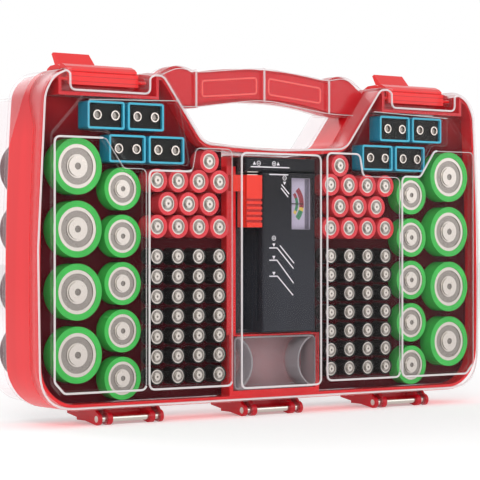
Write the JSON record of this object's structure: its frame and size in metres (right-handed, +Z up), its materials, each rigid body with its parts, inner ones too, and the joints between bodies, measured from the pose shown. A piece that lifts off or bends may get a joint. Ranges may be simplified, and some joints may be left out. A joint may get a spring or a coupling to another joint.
{
  "type": "battery storage case",
  "caption": "Upright two-sided storage case with a red tub, clear hinged covers, a carrying handle, round and square wells holding household cells, a cell tester and a coin-cell box.",
  "frame": {"origin": "centre of the bounding box's underside, on the surface the feet stand on", "axes": "+X to the right seen from the front, +Y from the front cover to the back cover, +Z up"},
  "size_m": [0.3572, 0.0713, 0.2294],
  "materials": {
    "red_plastic": "gloss",
    "dark_tray": "satin",
    "clear_plastic": "clear gloss",
    "clear_lens": "clear gloss",
    "latch_plastic": "gloss",
    "orange_plastic": "gloss",
    "tester_plastic": "satin",
    "black_plastic": "matt",
    "dial_card": "matt",
    "steel": "bright",
    "needle_metal": "matt",
    "green_label": "gloss",
    "red_label": "gloss",
    "black_label": "gloss",
    "teal_label": "gloss"
  },
  "bodies": {
    "case": {"case_frame": "red_plastic", "tray_left": "dark_tray", "tray_right": "dark_tray", "tester_tray": "red_plastic", "hinge_foot_left": "red_plastic", "hinge_foot_middle": "red_plastic", "hinge_foot_right": "red_plastic", "front_hinge_pins": "steel", "back_hinge_pins": "steel", "d_cell_cans": "steel", "c_cell_cans": "steel", "aa_cell_cans": "steel", "aaa_cell_cans": "steel", "d_cell_jackets": "green_label", "c_cell_jackets": "green_label", "aa_cell_jackets": "red_label", "aaa_cell_jackets": "black_label", "nine_volt_bodies": "teal_label", "nine_volt_tops": "black_plastic", "nine_volt_terminals": "steel", "coin_box": "clear_plastic", "tester_front_shell": "tester_plastic", "tester_back_shell": "tester_plastic", "meter_lens": "clear_lens", "meter_dial": "dial_card", "meter_movement": "black_plastic", "tester_fixed_contact": "steel"},
    "front_cover": {"front_cover": "clear_plastic"},
    "back_cover": {"back_cover": "clear_plastic"},
    "front_latch_left": {"front_latch_left": "latch_plastic"},
    "front_latch_right": {"front_latch_right": "latch_plastic"},
    "back_latch_left": {"back_latch_left": "latch_plastic"},
    "back_latch_right": {"back_latch_right": "latch_plastic"},
    "tester_slider": {"tester_slider": "orange_plastic", "slider_contact": "steel"},
    "meter_needle": {"meter_needle": "needle_metal"}
  },
  "joints": [
    {"name": "front_cover_hinge", "type": "hinge", "parent": "case", "child": "front_cover", "pos_m": [0, -0.0232, 0.0038], "axis": [1, 0, 0], "range_deg": [0, 60]},
    {"name": "back_cover_hinge", "type": "hinge", "parent": "case", "child": "back_cover", "pos_m": [0, 0.0083, 0.0038], "axis": [-1, 0, 0], "range_deg": [0, 60]},
    {"name": "front_latch_left_pivot", "type": "hinge", "parent": "front_cover", "child": "front_latch_left", "pos_m": [-0.1263, -0.0193, 0.21], "axis": [1, 0, 0], "range_deg": [0, 90]},
    {"name": "back_latch_left_pivot", "type": "hinge", "parent": "back_cover", "child": "back_latch_left", "pos_m": [-0.1263, 0.0033, 0.21], "axis": [-1, 0, 0], "range_deg": [0, 75]},
    {"name": "front_latch_right_pivot", "type": "hinge", "parent": "front_cover", "child": "front_latch_right", "pos_m": [0.1263, -0.0193, 0.21], "axis": [1, 0, 0], "range_deg": [0, 90]},
    {"name": "back_latch_right_pivot", "type": "hinge", "parent": "back_cover", "child": "back_latch_right", "pos_m": [0.1263, 0.0033, 0.21], "axis": [-1, 0, 0], "range_deg": [0, 75]},
    {"name": "slider_travel", "type": "slide", "parent": "case", "child": "tester_slider", "axis": [0, 0, -1], "range_m": [0, 0.06]},
    {"name": "meter_needle_pivot", "type": "hinge", "parent": "case", "child": "meter_needle", "pos_m": [0.0065, -0.0297, 0.1367], "axis": [0, 1, 0], "range_deg": [-24, 24]}
  ]
}
